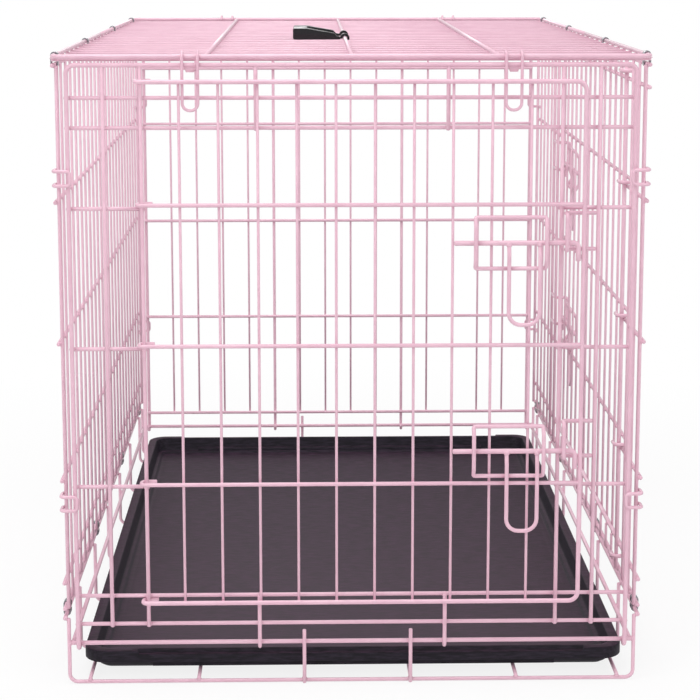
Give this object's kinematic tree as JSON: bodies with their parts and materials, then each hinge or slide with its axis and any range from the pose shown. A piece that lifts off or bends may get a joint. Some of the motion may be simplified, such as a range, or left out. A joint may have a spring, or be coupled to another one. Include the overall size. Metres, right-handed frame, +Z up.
{
  "type": "wire dog crate",
  "caption": "Folding welded-wire pet crate with an end door and a side door on slide bolts, a lift-out floor tray and a carrying handle.",
  "frame": {"origin": "middle of the footprint, on the floor", "axes": "+Y from the door end to the far end, +X to the side with the door, +Z up"},
  "size_m": [0.5928, 0.9358, 0.6384],
  "materials": {
    "painted_wire": "smooth pink powder coat, slightly glossy",
    "black_plastic": "fine-grained black moulding",
    "zinc_steel": "zinc plated"
  },
  "bodies": {
    "cage": {"base_frame": "painted_wire", "left_side_panel": "painted_wire", "right_side_panel": "painted_wire", "roof_panel": "painted_wire", "lower_left_edge_clip_1": "zinc_steel", "lower_left_edge_clip_2": "zinc_steel", "lower_left_edge_clip_3": "zinc_steel", "lower_left_edge_clip_4": "zinc_steel", "lower_right_edge_clip_1": "zinc_steel", "lower_right_edge_clip_2": "zinc_steel", "lower_right_edge_clip_3": "zinc_steel", "lower_right_edge_clip_4": "zinc_steel", "roof_left_edge_clip_1": "zinc_steel", "roof_left_edge_clip_2": "zinc_steel", "roof_left_edge_clip_3": "zinc_steel", "roof_left_edge_clip_4": "zinc_steel", "roof_right_edge_clip_1": "zinc_steel", "roof_right_edge_clip_2": "zinc_steel", "roof_right_edge_clip_3": "zinc_steel", "roof_right_edge_clip_4": "zinc_steel", "front_left_lower_corner_hook": "painted_wire", "front_left_upper_corner_hook": "painted_wire", "front_right_lower_corner_hook": "painted_wire", "front_right_upper_corner_hook": "painted_wire", "back_left_lower_corner_hook": "painted_wire", "back_left_upper_corner_hook": "painted_wire", "back_right_lower_corner_hook": "painted_wire", "back_right_upper_corner_hook": "painted_wire", "side_lower_bolt_keeper": "painted_wire", "side_upper_bolt_keeper": "painted_wire"},
    "front_end": {"front_panel": "painted_wire", "front_left_spring_latch": "painted_wire", "front_right_spring_latch": "painted_wire", "front_lower_bolt_keeper": "painted_wire", "front_upper_bolt_keeper": "painted_wire"},
    "back_end": {"back_panel": "painted_wire", "back_left_spring_latch": "painted_wire", "back_right_spring_latch": "painted_wire"},
    "front_door": {"front_door": "painted_wire", "front_lower_bolt_guide": "painted_wire", "front_upper_bolt_guide": "painted_wire"},
    "side_door": {"side_door": "painted_wire", "side_lower_bolt_guide": "painted_wire", "side_upper_bolt_guide": "painted_wire"},
    "front_lower_bolt": {"front_lower_slide_bolt": "painted_wire"},
    "front_upper_bolt": {"front_upper_slide_bolt": "painted_wire"},
    "side_lower_bolt": {"side_lower_slide_bolt": "painted_wire"},
    "side_upper_bolt": {"side_upper_slide_bolt": "painted_wire"},
    "tray": {"tray": "black_plastic"},
    "handle": {"carry_handle": "black_plastic"}
  },
  "joints": [
    {"name": "front_panel_fold", "type": "hinge", "parent": "cage", "child": "front_end", "pos_m": [-0.00561, -0.44683, 0.0425], "axis": [1, 0, 0], "range_deg": [-90, 0]},
    {"name": "back_panel_fold", "type": "hinge", "parent": "cage", "child": "back_end", "pos_m": [-0.00561, 0.45717, 0.0425], "axis": [-1, 0, 0], "range_deg": [-85, 0]},
    {"name": "front_door_swing", "type": "hinge", "parent": "front_end", "child": "front_door", "pos_m": [-0.20861, -0.45143, 0.34], "axis": [0, 0, -1], "range_deg": [0, 155]},
    {"name": "side_door_swing", "type": "hinge", "parent": "cage", "child": "side_door", "pos_m": [0.27769, -0.3267, 0.34], "axis": [0, 0, -1], "range_deg": [0, 155]},
    {"name": "front_lower_bolt_turn", "type": "hinge", "parent": "front_door", "child": "front_lower_bolt", "pos_m": [0.15239, -0.46108, 0.241], "axis": [-1, 0, 0], "range_deg": [0, 155]},
    {"name": "front_upper_bolt_turn", "type": "hinge", "parent": "front_door", "child": "front_upper_bolt", "pos_m": [0.15239, -0.46108, 0.448], "axis": [-1, 0, 0], "range_deg": [0, 155]},
    {"name": "side_lower_bolt_turn", "type": "hinge", "parent": "side_door", "child": "side_lower_bolt", "pos_m": [0.28949, 0.17491, 0.2435], "axis": [0, -1, 0], "range_deg": [0, 155]},
    {"name": "side_upper_bolt_turn", "type": "hinge", "parent": "side_door", "child": "side_upper_bolt", "pos_m": [0.28949, 0.17491, 0.4485], "axis": [0, -1, 0], "range_deg": [0, 155]},
    {"name": "handle_flip", "type": "hinge", "parent": "cage", "child": "handle", "pos_m": [-0.00561, -0.04363, 0.62725], "axis": [0, 1, 0], "range_deg": [0, 165]},
    {"name": "tray_lift", "type": "slide", "parent": "cage", "child": "tray", "axis": [0, 0, 1], "range_m": [0, 0.05]}
  ]
}
